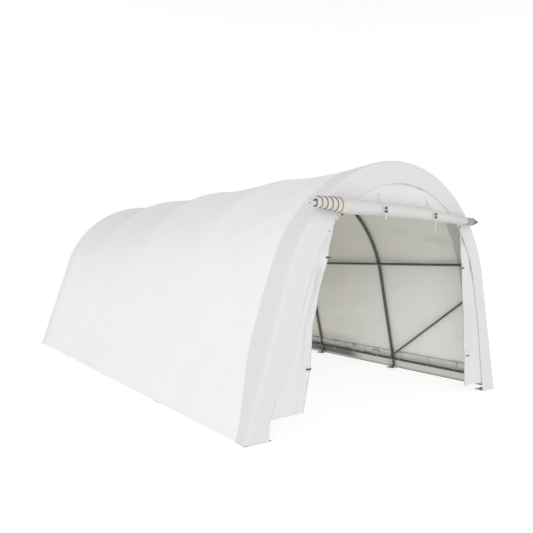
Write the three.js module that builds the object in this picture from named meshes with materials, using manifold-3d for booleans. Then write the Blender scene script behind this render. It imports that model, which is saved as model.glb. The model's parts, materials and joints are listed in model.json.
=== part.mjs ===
// Round-top livestock shelter: a fabric cover over five galvanised tube ribs, with a roll-up front door.
// Millimetres, +Z up. X runs across the width, Y along the length, and the door faces -Y.
// The origin is on the ground, at the middle of the shelter's bounding box, its door ties left out.
import * as THREE from 'three';
import { mergeVertices } from 'three/addons/utils/BufferGeometryUtils.js';
import Module from 'manifold-3d';

const wasm = await Module();
wasm.setup();

// ---- Driving dimensions ----
const WIDTH = 3657.6;              // cover, outside, on the ground
const LENGTH = 6096;               // cover, front face to rear face
const HEIGHT = 2438.4;             // cover, at the ridge
const LEG_LEAN = THREE.MathUtils.degToRad(16.07);
const RIB_COUNT = 5;
const GAP = 0.5;                   // clearance between neighbouring pieces

const CLOTH = 2;                   // thickness that stands for every sheet of cover cloth
const FASCIA_WIDTH = 211;          // band of cover that turns round each end rib
const SEAM_LAP = 30;               // end cloth that lies behind the fascia
const COVER_HEM_Z = 6;             // hem of the cover above the ground, over the foot plates
const RIB_INSET = 30;              // cover face to the middle of a rib tube
const END_INSET = 30;              // fascia face to the middle of an end rib

const RIB_R = 19;
const RIB_BORE_R = 17.5;
const RAIL_R = 16;
const RAIL_BORE_R = 14.8;
const BRACE_R = 12.5;
const BRACE_BORE_R = 11.3;
const TUBE_SIDES = 8;
const BEND_STEPS = 10;
const PURLIN_GAP = 4;              // rib to purlin, filled by the cross clamps' pads

const END_PLATE_INNER_X = 1571;    // the end ribs stand on longer plates
const MID_PLATE_INNER_X = 1712;
const PLATE_OUTER_X = 1826;
const PLATE_AHEAD = 26;            // plate in front of its rib's middle
const PLATE_BEHIND = 95;
const PLATE_T = 4;
const SPIGOT_R = 15.6;
const SPIGOT_LENGTH = 110;
const ANCHOR_HOLE_R = 7;

const BASE_RAIL_Z = 145;
const SIDE_PURLIN_Z = 1488;
const BRACE_LOW_Z = 178;
const BRACE_HIGH_Z = 1205;
const LACING_TOP_Z = 252;
const LACING_FOOT_Z = 40;

const HEADER_Z = 1988;             // lower edge of the cloth above the door
// Ends of each flap's zip edge; the loose cloth hangs a little lower on the right.
const FLAPS = {
  left: { footX: 1251, footZ: 170, tipX: 972, tipZ: 1828 },
  right: { footX: 1162, footZ: 100, tipX: 912, tipZ: 1880 },
};

const ROLL_Z = 1930;               // at the roll's middle
const ROLL_TILT = 1.6 * Math.PI / 180;   // its right end hangs higher
const ROLL_R = 70;
const ROLL_WALL = 6;
const ROLL_BACK = 9;               // fascia face to the back of the roll
const ROLL_LEFT_TIP_X = -1350;
const ROLL_LEFT_CONE_X = -985;
const ROLL_RIGHT_CONE_X = 300;
const ROLL_RIGHT_TIP_X = 1130;
const ROLL_TIP_R = 44;
const ROLL_SIDES = 16;
const BAR_R = 12.5;
const BAR_HALF = 1110;
const CURTAIN_HALF = 850;

const TIE_XS = { left: -510, right: 235 };
const TIE_CORD_R = 3;
const TIE_TOP_Z = 2080;
const TIE_LEAN_X = 85;             // its top end is sewn on nearer the middle
const TIE_TAIL_ZS = { left: 1838, right: 1772 };
const TOGGLE_R = 11;
const TOGGLE_BORE_R = 4;
const TOGGLE_HALF = 24;

// Height of each hook, and how far it sits onto the flap.
const HOOKS = {
  left: { upper: [1470, 15], lower: [536, 30] },
  right: { upper: [1447, 35], lower: [457, 80] },
};
const HOOK_LENGTH = 48;
const HOOK_WIDTH = 20;
const HOOK_T = 5;

// ---- Places worked out from the driving dimensions ----
const SIN = Math.sin(LEG_LEAN);
const COS = Math.cos(LEG_LEAN);
const ARC_R = ((WIDTH / 2) * COS - HEIGHT * SIN) / (1 - SIN);
const ARC_Z = HEIGHT - ARC_R;
const ROLL_REACH = ROLL_BACK + 2 * ROLL_R;
const BOX_LENGTH = ROLL_REACH + LENGTH - END_INSET + PLATE_BEHIND;
const FRONT_Y = ROLL_REACH - BOX_LENGTH / 2;
const REAR_Y = FRONT_Y + LENGTH;
const RIB_PITCH = (LENGTH - 2 * END_INSET) / (RIB_COUNT - 1);
const ribY = (index) => FRONT_Y + END_INSET + index * RIB_PITCH;
const RAIL_INSET = RIB_INSET + RIB_R + RAIL_R + GAP;
const PURLIN_INSET = RIB_INSET + RIB_R + RAIL_R + PURLIN_GAP;
const BRACE_INSET = RIB_INSET + RIB_R + BRACE_R + GAP;
const PANEL_Y = FRONT_Y + CLOTH + GAP;
const ROLL_Y = FRONT_Y - ROLL_BACK - ROLL_R;
const SIDES = { left: -1, right: 1 };

// ---- Materials ----
const coverCloth = () => new THREE.MeshStandardMaterial({ color: 0xf1f1ef, roughness: 0.6, metalness: 0 });
const panelCloth = () => new THREE.MeshStandardMaterial({ color: 0xececea, roughness: 0.65, metalness: 0 });
const galvanised = () => new THREE.MeshStandardMaterial({ color: 0x6d706a, roughness: 0.45, metalness: 0.9 });
const plateSteel = () => new THREE.MeshStandardMaterial({ color: 0x9b9d98, roughness: 0.5, metalness: 0.9 });
const cordWhite = () => new THREE.MeshStandardMaterial({ color: 0xf4f4f0, roughness: 0.8, metalness: 0 });
const darkPlastic = () => new THREE.MeshStandardMaterial({ color: 0x2c2a29, roughness: 0.5, metalness: 0 });

// ---- Geometry helpers ----
// X of the straight leg of the profile, inset from the cover's face, at a height.
const legX = (inset, z) => ARC_R / COS - inset / COS + (ARC_Z - z) * Math.tan(LEG_LEAN);

// Half-width of the whole profile, inset from the cover's face, at a height.
function profileX(inset, z) {
  const r = ARC_R - inset;
  const tangentZ = ARC_Z + r * SIN;
  return z < tangentZ ? legX(inset, z) : Math.sqrt(Math.max(0, r * r - (z - ARC_Z) ** 2));
}

// Points of the arch from its right foot over the ridge to its left foot.
function archPoints(inset, footZ, arcSteps) {
  const r = ARC_R - inset;
  const points = [new THREE.Vector2(legX(inset, footZ), footZ)];
  for (let i = 0; i <= arcSteps; i += 1) {
    const a = LEG_LEAN + ((Math.PI - 2 * LEG_LEAN) * i) / arcSteps;
    points.push(new THREE.Vector2(r * Math.cos(a), ARC_Z + r * Math.sin(a)));
  }
  points.push(new THREE.Vector2(-legX(inset, footZ), footZ));
  return points;
}

// Extrudes an X-Z outline along +Y from yStart.
function slab(shape, yStart, depth) {
  const geometry = new THREE.ExtrudeGeometry(shape, { depth, bevelEnabled: false, curveSegments: 12 });
  geometry.rotateX(Math.PI / 2);
  geometry.translate(0, yStart + depth, 0);
  return geometry;
}

function archBand(insetOut, insetIn, footZ, yStart, depth) {
  const outer = archPoints(insetOut, footZ, 24);
  const inner = archPoints(insetIn, footZ, 24).reverse();
  return slab(new THREE.Shape([...outer, ...inner]), yStart, depth);
}

function circlePoints(radius, sides) {
  const points = [];
  for (let i = 0; i < sides; i += 1) {
    const a = (2 * Math.PI * (i + 0.5)) / sides;
    points.push(new THREE.Vector2(radius * Math.cos(a), radius * Math.sin(a)));
  }
  return points;
}

function ringShape(radius, boreRadius, sides) {
  const shape = new THREE.Shape(circlePoints(radius, sides));
  if (boreRadius > 0) shape.holes.push(new THREE.Path(circlePoints(boreRadius, sides)));
  return shape;
}

function straightTube(from, to, radius, boreRadius, sides = TUBE_SIDES) {
  const along = new THREE.Vector3().subVectors(to, from);
  const options = { depth: along.length(), bevelEnabled: false };
  const geometry = new THREE.ExtrudeGeometry(ringShape(radius, boreRadius, sides), options);
  const turn = new THREE.Quaternion().setFromUnitVectors(new THREE.Vector3(0, 0, 1), along.normalize());
  geometry.applyQuaternion(turn);
  geometry.translate(from.x, from.y, from.z);
  return geometry;
}

// Part of a circle that stands in an X-Z plane.
class UprightArc extends THREE.Curve {
  constructor(y, radius, startAngle, endAngle) {
    super();
    Object.assign(this, { y, radius, startAngle, endAngle });
  }

  getPoint(t, target = new THREE.Vector3()) {
    const a = THREE.MathUtils.lerp(this.startAngle, this.endAngle, t);
    return target.set(this.radius * Math.cos(a), this.y, ARC_Z + this.radius * Math.sin(a));
  }
}

function pathTube(path, radius, boreRadius, sides, steps) {
  const options = { steps, extrudePath: path, bevelEnabled: false };
  return new THREE.ExtrudeGeometry(ringShape(radius, boreRadius, sides), options);
}

function toManifold(geometry) {
  const bare = geometry.index ? geometry.toNonIndexed() : geometry.clone();
  bare.deleteAttribute('normal');
  bare.deleteAttribute('uv');
  const merged = mergeVertices(bare, 1e-3);
  const vertProperties = new Float32Array(merged.attributes.position.array);
  const triVerts = new Uint32Array(merged.index.array);
  return new wasm.Manifold(new wasm.Mesh({ numProp: 3, vertProperties, triVerts }));
}

function fromManifold(solid) {
  const mesh = solid.getMesh();
  const geometry = new THREE.BufferGeometry();
  geometry.setAttribute('position', new THREE.BufferAttribute(new Float32Array(mesh.vertProperties), 3));
  geometry.setIndex(new THREE.BufferAttribute(new Uint32Array(mesh.triVerts), 1));
  geometry.computeVertexNormals();
  return geometry;
}

const shelter = new THREE.Group();

function addPart(name, geometry, material) {
  const mesh = new THREE.Mesh(geometry, material);
  mesh.name = name;
  shelter.add(mesh);
}

// ---- Frame ----
// Point on a rib's leg line at a height, on one side.
const legPoint = (sign, inset, y, z) => new THREE.Vector3(sign * legX(inset, z), y, z);

// A foot plate with two anchor holes and the leaning spigot that its leg slides over.
// A long plate has its holes side by side, a short one has them one behind the other.
function footPlate(sign, y, isEnd) {
  const innerX = isEnd ? END_PLATE_INNER_X : MID_PLATE_INNER_X;
  const outline = new THREE.Shape([
    new THREE.Vector2(innerX, y - PLATE_AHEAD),
    new THREE.Vector2(PLATE_OUTER_X, y - PLATE_AHEAD),
    new THREE.Vector2(PLATE_OUTER_X, y + PLATE_BEHIND),
    new THREE.Vector2(innerX, y + PLATE_BEHIND),
  ]);
  const holeY = y + (PLATE_BEHIND - PLATE_AHEAD) / 2;
  const places = isEnd
    ? [[innerX + 35, holeY], [innerX + 105, holeY]]
    : [[innerX + 30, holeY - 28], [innerX + 30, holeY + 28]];
  for (const place of places) {
    const hole = circlePoints(ANCHOR_HOLE_R, TUBE_SIDES);
    hole.forEach((p) => p.add(new THREE.Vector2(...place)));
    outline.holes.push(new THREE.Path(hole));
  }
  const plate = new THREE.ExtrudeGeometry(outline, { depth: PLATE_T, bevelEnabled: false });
  const root = legPoint(1, RIB_INSET, y, -SPIGOT_R);
  const head = legPoint(1, RIB_INSET, y, PLATE_T + SPIGOT_LENGTH);
  const spigot = toManifold(straightTube(root, head, SPIGOT_R, 0));
  const ground = new THREE.BoxGeometry(200, 200, 100);
  ground.translate(root.x, y, -50);
  const geometry = fromManifold(toManifold(plate).add(spigot.subtract(toManifold(ground))));
  if (sign < 0) {
    geometry.scale(-1, 1, 1);
    geometry.index.array.reverse();
  }
  return geometry;
}

function addRib(index) {
  const y = ribY(index);
  const number = index + 1;
  const radius = ARC_R - RIB_INSET;
  const legFootZ = PLATE_T + RIB_R * SIN + GAP;
  const tangentZ = ARC_Z + radius * SIN;
  const endGapAngle = GAP / radius;
  const isEnd = index === 0 || index === RIB_COUNT - 1;
  for (const [side, sign] of Object.entries(SIDES)) {
    addPart(`foot_${number}_${side}`, footPlate(sign, y, isEnd), plateSteel());
    const foot = legPoint(sign, RIB_INSET, y, legFootZ);
    const head = legPoint(sign, RIB_INSET, y, tangentZ - GAP);
    addPart(`rib_${number}_${side}_leg`, straightTube(foot, head, RIB_R, RIB_BORE_R), galvanised());
    const start = LEG_LEAN + endGapAngle;
    const end = Math.PI / 2 - endGapAngle;
    const arc = sign > 0
      ? new UprightArc(y, radius, start, end)
      : new UprightArc(y, radius, Math.PI - start, Math.PI - end);
    const bend = pathTube(arc, RIB_R, RIB_BORE_R, TUBE_SIDES, BEND_STEPS);
    addPart(`rib_${number}_${side}_bend`, bend, galvanised());
  }
}

function longTube(x, z) {
  const from = new THREE.Vector3(x, ribY(0) - RIB_R, z);
  const to = new THREE.Vector3(x, ribY(RIB_COUNT - 1) + RIB_R, z);
  return straightTube(from, to, RAIL_R, RAIL_BORE_R);
}

function addLongTubes() {
  addPart('ridge_purlin', longTube(0, HEIGHT - PURLIN_INSET), galvanised());
  for (const [side, sign] of Object.entries(SIDES)) {
    const purlinX = sign * profileX(PURLIN_INSET, SIDE_PURLIN_Z);
    addPart(`${side}_purlin`, longTube(purlinX, SIDE_PURLIN_Z), galvanised());
    addPart(`${side}_base_rail`, longTube(sign * legX(RAIL_INSET, BASE_RAIL_Z), BASE_RAIL_Z), galvanised());
  }
  const endX = legX(RAIL_INSET, BASE_RAIL_Z) - RAIL_R - 4 * GAP;
  const y = ribY(RIB_COUNT - 1) - RIB_R - RAIL_R - GAP;
  const from = new THREE.Vector3(-endX, y, BASE_RAIL_Z);
  const to = new THREE.Vector3(endX, y, BASE_RAIL_Z);
  addPart('rear_base_rail', straightTube(from, to, RAIL_R, RAIL_BORE_R), galvanised());
}

// Each end bay has a brace per side, from the inner rib's foot up to the end rib.
function addBraces() {
  const last = RIB_COUNT - 1;
  for (const [end, low, high] of [['front', 1, 0], ['rear', last - 1, last]]) {
    for (const [side, sign] of Object.entries(SIDES)) {
      const foot = legPoint(sign, BRACE_INSET, ribY(low), BRACE_LOW_Z);
      const head = legPoint(sign, BRACE_INSET, ribY(high), BRACE_HIGH_Z);
      addPart(`${end}_${side}_brace`, straightTube(foot, head, BRACE_R, BRACE_BORE_R), galvanised());
    }
  }
}

// ---- Cover and end panels ----
function addCover() {
  const start = FRONT_Y + CLOTH + GAP;
  const depth = LENGTH - 2 * (CLOTH + GAP);
  addPart('main_cover', archBand(0, CLOTH, COVER_HEM_Z, start, depth), coverCloth());
  addPart('front_fascia', archBand(0, FASCIA_WIDTH, COVER_HEM_Z, FRONT_Y, CLOTH), coverCloth());
  addPart('rear_fascia', archBand(0, FASCIA_WIDTH, COVER_HEM_Z, REAR_Y - CLOTH, CLOTH), coverCloth());
}

function addRearPanel() {
  const outline = new THREE.Shape(archPoints(FASCIA_WIDTH - SEAM_LAP, COVER_HEM_Z, 24));
  addPart('rear_panel', slab(outline, REAR_Y - 2 * CLOTH - GAP, CLOTH), panelCloth());
}

// The cloth above the door: the cap of the arch over a straight lower edge.
function addHeader() {
  const radius = ARC_R - FASCIA_WIDTH + SEAM_LAP;
  const startAngle = Math.asin((HEADER_Z - ARC_Z) / radius);
  const steps = 14;
  const points = [];
  for (let i = 0; i <= steps; i += 1) {
    const a = startAngle + ((Math.PI - 2 * startAngle) * i) / steps;
    points.push(new THREE.Vector2(radius * Math.cos(a), ARC_Z + radius * Math.sin(a)));
  }
  addPart('front_header', slab(new THREE.Shape(points), PANEL_Y, CLOTH), panelCloth());
}

// Half-width of the doorway at a flap's zip edge, at a height.
function zipX(side, z) {
  const { footX, footZ, tipX, tipZ } = FLAPS[side];
  return THREE.MathUtils.mapLinear(z, footZ, tipZ, footX, tipX);
}

// A side flap: behind the fascia on its outer edge, free along the zip edge and the foot.
function addFlaps() {
  const inset = FASCIA_WIDTH - SEAM_LAP;
  const steps = 10;
  for (const [side, sign] of Object.entries(SIDES)) {
    const { footX, footZ, tipX, tipZ } = FLAPS[side];
    const points = [new THREE.Vector2(sign * footX, footZ)];
    for (let i = 0; i <= steps; i += 1) {
      const z = THREE.MathUtils.lerp(footZ, tipZ, i / steps);
      points.push(new THREE.Vector2(sign * profileX(inset, z), z));
    }
    points.push(new THREE.Vector2(sign * tipX, tipZ));
    addPart(`${side}_flap`, slab(new THREE.Shape(points), PANEL_Y, CLOTH), panelCloth());
  }
}

// The strip inside each side wall that is laced to the base rail.
function addLacingStrips() {
  const outer = CLOTH + GAP;
  const inner = outer + CLOTH;
  const start = ribY(0) - RIB_R;
  const depth = ribY(RIB_COUNT - 1) + RIB_R - start;
  for (const [side, sign] of Object.entries(SIDES)) {
    const outline = new THREE.Shape([
      new THREE.Vector2(sign * legX(outer, LACING_FOOT_Z), LACING_FOOT_Z),
      new THREE.Vector2(sign * legX(outer, LACING_TOP_Z), LACING_TOP_Z),
      new THREE.Vector2(sign * legX(inner, LACING_TOP_Z), LACING_TOP_Z),
      new THREE.Vector2(sign * legX(inner, LACING_FOOT_Z), LACING_FOOT_Z),
    ]);
    addPart(`${side}_lacing_strip`, slab(outline, start, depth), panelCloth());
  }
}

// ---- Roll-up door ----
// The rolled cloth is wider at its outer turns, so it tapers to a tip at both ends.
function addDoorRoll() {
  const outline = [
    [ROLL_LEFT_TIP_X, ROLL_TIP_R],
    [ROLL_LEFT_CONE_X, ROLL_R],
    [ROLL_RIGHT_CONE_X, ROLL_R],
    [ROLL_RIGHT_TIP_X, ROLL_TIP_R],
  ];
  const inside = outline.map(([x, r]) => [x, r - ROLL_WALL]).reverse();
  const profile = [...outline, ...inside].map(([x, r]) => new THREE.Vector2(r, x));
  profile.push(profile[0].clone());
  const geometry = new THREE.LatheGeometry(profile, ROLL_SIDES);
  geometry.rotateZ(-Math.PI / 2);
  geometry.rotateY(-ROLL_TILT);
  geometry.translate(0, ROLL_Y, ROLL_Z);
  addPart('door_roll', geometry, panelCloth());
  const reach = new THREE.Vector3(Math.cos(ROLL_TILT), 0, Math.sin(ROLL_TILT));
  const middle = new THREE.Vector3(0, ROLL_Y, ROLL_Z);
  const from = middle.clone().addScaledVector(reach, -BAR_HALF);
  const to = middle.clone().addScaledVector(reach, BAR_HALF);
  addPart('roll_bar', straightTube(from, to, BAR_R, BAR_R - 1.5), galvanised());
}

// The top of the door, which comes off the back of the roll and is drawn out as the roll goes down.
function addDoorCurtain() {
  const outline = new THREE.Shape([
    new THREE.Vector2(-CURTAIN_HALF, ROLL_Z),
    new THREE.Vector2(CURTAIN_HALF, ROLL_Z),
    new THREE.Vector2(CURTAIN_HALF, HEADER_Z),
    new THREE.Vector2(-CURTAIN_HALF, HEADER_Z),
  ]);
  addPart('door_curtain', slab(outline, FRONT_Y - CLOTH - 2, CLOTH), panelCloth());
}

// Each tie comes down the header, over the top of the roll, and hangs in front of it through its toggle.
function addTies() {
  const frontY = ROLL_Y - ROLL_R - TOGGLE_R - GAP;
  for (const [side, x] of Object.entries(TIE_XS)) {
    const rollZ = ROLL_Z + x * Math.tan(ROLL_TILT);
    const overZ = rollZ + ROLL_R + TIE_CORD_R + 5;
    const path = new THREE.CatmullRomCurve3([
      new THREE.Vector3(x + TIE_LEAN_X, FRONT_Y - TIE_CORD_R - GAP, TIE_TOP_Z),
      new THREE.Vector3(x + 0.8 * TIE_LEAN_X, FRONT_Y - 12, TIE_TOP_Z - 25),
      new THREE.Vector3(x + 0.2 * TIE_LEAN_X, ROLL_Y + 28, overZ + 4),
      new THREE.Vector3(x, ROLL_Y - 12, overZ - 1),
      new THREE.Vector3(x, ROLL_Y - 54, rollZ + 54),
      new THREE.Vector3(x, frontY + 1, rollZ + TOGGLE_HALF + 8),
      new THREE.Vector3(x, frontY, rollZ + TOGGLE_HALF),
      new THREE.Vector3(x, frontY, rollZ - TOGGLE_HALF),
      new THREE.Vector3(x, frontY, TIE_TAIL_ZS[side]),
    ], false, 'centripetal');
    addPart(`tie_cord_${side}`, pathTube(path, TIE_CORD_R, 0, 8, 26), cordWhite());
    const low = new THREE.Vector3(x, frontY, rollZ - TOGGLE_HALF + 4);
    const high = new THREE.Vector3(x, frontY, rollZ + TOGGLE_HALF - 4);
    addPart(`tie_toggle_${side}`, straightTube(low, high, TOGGLE_R, TOGGLE_BORE_R), darkPlastic());
  }
}

// ---- Flap hooks ----
// A flat plastic hook in front of the flap, with its pivot end on the flap and its open jaw past the zip edge.
function hookGeometry(side, sign, z, onto) {
  const h = HOOK_WIDTH / 2;
  const shape = new THREE.Shape();
  shape.moveTo(-0.45 * HOOK_LENGTH, -0.7 * h);
  shape.lineTo(0.4 * HOOK_LENGTH, -h);
  shape.lineTo(0.62 * HOOK_LENGTH, -0.3 * h);
  shape.lineTo(0.62 * HOOK_LENGTH, 0.8 * h);
  shape.lineTo(0.46 * HOOK_LENGTH, 0.8 * h);
  shape.lineTo(0.42 * HOOK_LENGTH, -0.2 * h);
  shape.lineTo(0.22 * HOOK_LENGTH, -0.3 * h);
  shape.lineTo(0.1 * HOOK_LENGTH, 0.7 * h);
  shape.lineTo(-0.45 * HOOK_LENGTH, 0.7 * h);
  shape.closePath();
  const geometry = slab(shape, 0, HOOK_T);
  if (sign > 0) geometry.rotateZ(Math.PI);
  geometry.translate(sign * (zipX(side, z) + onto), PANEL_Y - GAP - (sign > 0 ? 0 : HOOK_T), z);
  return geometry;
}

function addHooks() {
  for (const [side, sign] of Object.entries(SIDES)) {
    for (const [level, [z, onto]] of Object.entries(HOOKS[side])) {
      addPart(`${side}_hook_${level}`, hookGeometry(side, sign, z, onto), darkPlastic());
    }
  }
}

for (let index = 0; index < RIB_COUNT; index += 1) addRib(index);
addLongTubes();
addBraces();
addCover();
addRearPanel();
addHeader();
addFlaps();
addLacingStrips();
addDoorRoll();
addDoorCurtain();
addTies();
addHooks();

export default shelter;
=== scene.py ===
import json
from math import acos, asin, atan2, cos, hypot, pi, radians, sin, tau

import bpy
import numpy as np
from mathutils import Matrix, Vector


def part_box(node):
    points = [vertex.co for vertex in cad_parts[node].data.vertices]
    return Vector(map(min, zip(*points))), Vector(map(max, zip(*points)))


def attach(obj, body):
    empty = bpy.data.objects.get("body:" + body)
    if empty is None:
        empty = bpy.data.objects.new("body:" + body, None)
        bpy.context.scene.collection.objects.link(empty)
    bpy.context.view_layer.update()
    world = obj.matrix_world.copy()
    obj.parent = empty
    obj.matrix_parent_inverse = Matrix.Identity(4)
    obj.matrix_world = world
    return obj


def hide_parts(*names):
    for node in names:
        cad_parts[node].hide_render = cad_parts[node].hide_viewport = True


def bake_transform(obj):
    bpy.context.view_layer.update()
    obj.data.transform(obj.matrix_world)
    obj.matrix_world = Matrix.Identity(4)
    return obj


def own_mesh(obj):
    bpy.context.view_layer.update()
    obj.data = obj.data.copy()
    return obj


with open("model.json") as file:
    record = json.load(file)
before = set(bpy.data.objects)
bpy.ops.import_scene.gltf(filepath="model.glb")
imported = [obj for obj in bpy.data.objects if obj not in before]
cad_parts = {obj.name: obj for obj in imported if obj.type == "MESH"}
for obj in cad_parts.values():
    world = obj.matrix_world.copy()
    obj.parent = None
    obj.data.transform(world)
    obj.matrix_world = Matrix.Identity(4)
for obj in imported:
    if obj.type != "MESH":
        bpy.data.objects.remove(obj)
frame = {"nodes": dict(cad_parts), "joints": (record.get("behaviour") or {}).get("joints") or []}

# Round-top livestock shelter: a coated-cloth cover over five galvanised tube ribs, with a roll-up door.
# Metres, +Z up, the door faces -Y.

scene = bpy.context.scene


# ---- The frame ----
def centre(node):
    """Middle of a CAD node's box."""
    return [(low + high) / 2 for low, high in zip(*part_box(node))]


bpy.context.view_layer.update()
joints = {joint["name"]: joint for joint in frame["joints"]}
cover_low, cover_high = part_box("main_cover")
flap_axis = joints["left_flap_swing"]["axis"]
SIN, COS = abs(flap_axis[0]), abs(flap_axis[2])
LEAN, TAN = atan2(SIN, COS), SIN / COS
HEM_Z, HEIGHT = cover_low.z, cover_high.z
ARC_R = (cover_high.x - (HEIGHT - HEM_Z) * TAN) / (1 / COS - TAN)
ARC_Z = HEIGHT - ARC_R
ARC_LENGTH = ARC_R * (pi / 2 - LEAN)
LEG_LENGTH = (ARC_Z + ARC_R * SIN - HEM_Z) / COS
HALF_LENGTH = ARC_LENGTH + LEG_LENGTH
ARC_SHARE = ARC_LENGTH / HALF_LENGTH
FRONT_Y, REAR_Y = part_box("front_fascia")[0].y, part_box("rear_fascia")[1].y
RIB_COUNT = 5
RIB_YS = [centre(f"rib_{i}_left_leg")[1] for i in range(1, RIB_COUNT + 1)]
FIRST_Y, LAST_Y = RIB_YS[0], RIB_YS[-1]
RIB_PITCH = RIB_YS[1] - FIRST_Y
PANEL_Y, HEADER_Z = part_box("front_header")[0].yz
BASE_RAIL_Z, PURLIN_Z = centre("left_base_rail")[2], centre("left_purlin")[2]
LACING_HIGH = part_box("left_lacing_strip")[1].z
SPIN_POINT = Vector(joints["door_spin"]["pos_m"])
SPIN_AXIS = Vector(joints["door_spin"]["axis"]).normalized()
SPIN_UP = Vector((-SPIN_AXIS.z, 0, SPIN_AXIS.x))
ROLL_Y, ROLL_Z = SPIN_POINT.y, SPIN_POINT.z
DROP = joints["door_drop"]["range_m"][1]
SIDES = {"left": -1, "right": 1}
LEVELS = ("upper", "lower")
UP, ALONG = (0, 0, 1), (0, 1, 0)

# ---- Sizes that the frame's boxes don't give ----
CLOTH = 0.0012
FASCIA_WIDTH = 0.211
SEAM_LAP = 0.030
LAP_INSET = FASCIA_WIDTH - SEAM_LAP
CORNER_R = 0.030
RIB_INSET, PURLIN_INSET, RAIL_INSET, BRACE_INSET = 0.030, 0.069, 0.0655, 0.062
RIB_R, RAIL_R, BRACE_R = 0.019, 0.016, 0.0125
WALL = 0.0015
STRAP_T = 0.0026
PLATE_T = 0.004
ROLL_R = 0.070
ROLL_TURNS = 6.5
CORD_R = 0.003
WAVES = 14
# Half-width and height of each flap's zip edge at its foot, then at its tip.
FLAPS = {"left": (1.251, 0.170, 0.972, 1.828), "right": (1.162, 0.100, 0.912, 1.880)}


# ---- Camera ----
def make_camera():
    yaw, pitch, roll = 0.705698, -0.0355283, 0.0356983
    right = Vector((cos(yaw), -sin(yaw), 0))
    ahead = Vector((sin(yaw) * cos(pitch), cos(yaw) * cos(pitch), sin(pitch)))
    up = right.cross(ahead)
    across = right * cos(roll) + up * sin(roll)
    above = up * cos(roll) - right * sin(roll)
    data = bpy.data.cameras.new("camera")
    data.sensor_width, data.lens = 36, 33.987
    data.shift_x, data.shift_y = -0.0687, 0.0442
    data.clip_start, data.clip_end = 0.1, 400
    camera = bpy.data.objects.new("camera", data)
    turn = Matrix((across, above, -ahead)).transposed().to_4x4()
    camera.matrix_world = Matrix.Translation((-3.95662, FRONT_Y - 3.10841, 1.33796)) @ turn
    scene.collection.objects.link(camera)
    scene.camera = camera


make_camera()


# ---- Shape of the section ----
def leg_x(inset, z):
    return ARC_R / COS - inset / COS + (ARC_Z - z) * TAN


def profile_x(inset, z):
    """Half-width of the section, inset from the cover's face, at a height."""
    radius = ARC_R - inset
    z = np.asarray(z, float)
    on_arc = np.sqrt(np.maximum(radius ** 2 - (z - ARC_Z) ** 2, 0))
    return np.where(z < ARC_Z + radius * SIN, leg_x(inset, z), on_arc)


def section(q, inset):
    """x, z and outward normal of the section. q runs from -1, the left hem, over 0, the ridge, to 1."""
    q = np.asarray(q, float)
    side, share = np.where(q < 0, -1, 1), np.abs(q)
    angle = pi / 2 - np.minimum(share / ARC_SHARE, 1) * (pi / 2 - LEAN)
    normal_x, normal_z = np.cos(angle), np.sin(angle)
    radius = ARC_R - inset
    leg = (ARC_Z + radius * SIN - HEM_Z) / COS
    down = np.maximum(share - ARC_SHARE, 0) / (1 - ARC_SHARE) * leg
    x = radius * normal_x + down * SIN
    z = ARC_Z + radius * normal_z - down * COS
    return side * x, z, side * normal_x, normal_z


def q_at(z):
    """Share of the way from the ridge to the hem where the cover is at height z."""
    tangent_z = ARC_Z + ARC_R * SIN
    if z < tangent_z:
        return ARC_SHARE + (1 - ARC_SHARE) * (tangent_z - z) / COS / LEG_LENGTH
    return ARC_SHARE * acos(min(1, (z - ARC_Z) / ARC_R)) / (pi / 2 - LEAN)


def smooth(x, low, high):
    """Rises from 0 at low to 1 at high."""
    t = np.clip((np.asarray(x, float) - low) / (high - low), 0, 1)
    return t * t * (3 - 2 * t)


def fade(x, low, high):
    """Falls from 1 at low to 0 at high."""
    return 1 - smooth(x, low, high)


def bell(x, width):
    """1 at 0, falling away on both sides."""
    return np.exp(-(x / width) ** 2)


def ripple(a, b, seed, longest, shortest):
    """Sum of sine waves over a and b, about -1 to 1, the same ones each run."""
    chance = np.random.default_rng(seed)
    total = np.zeros(np.broadcast(a, b).shape)
    for _ in range(WAVES):
        length = longest * (shortest / longest) ** chance.random()
        turn, start = chance.random() * tau, chance.random() * tau
        wave = (a * cos(turn) + b * sin(turn)) * tau / length + start
        total += np.sin(wave) * (length / longest) ** 0.5
    return total / WAVES ** 0.5 * 1.3


def crease(a, b, start, end, width):
    """A fold of height 1 along the line from start to end in the (a, b) plane, fading out at both ends."""
    along = np.subtract(end, start)
    length = hypot(*along)
    da, db = a - start[0], b - start[1]
    t = (da * along[0] + db * along[1]) / length ** 2
    off = (da * along[1] - db * along[0]) / length
    return bell(off, width) * smooth(t, 0, 0.25) * fade(t, 0.75, 1)


# ---- Meshes ----
def mesh_object(name, verts, faces, materials, slots=None, uv=None, sharp=40):
    mesh = bpy.data.meshes.new(name)
    mesh.from_pydata([tuple(v) for v in verts], [], faces)
    for material in materials:
        mesh.materials.append(material)
    if slots is not None:
        mesh.polygons.foreach_set("material_index", np.asarray(slots, np.int32))
        corner = np.empty(len(mesh.loops), np.int32)
        mesh.loops.foreach_get("vertex_index", corner)
        mesh.uv_layers.new(name="cloth").data.foreach_set("uv", uv[corner].astype(np.float32).ravel())
    mesh.shade_smooth()
    mesh.set_sharp_from_angle(angle=radians(sharp))
    mesh.update()
    piece = bpy.data.objects.new(name, mesh)
    scene.collection.objects.link(piece)
    return piece


def layers(*parts):
    """Grids of x, y and so on, as one grid of points."""
    return np.stack(np.broadcast_arrays(*parts), 2)


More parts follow.
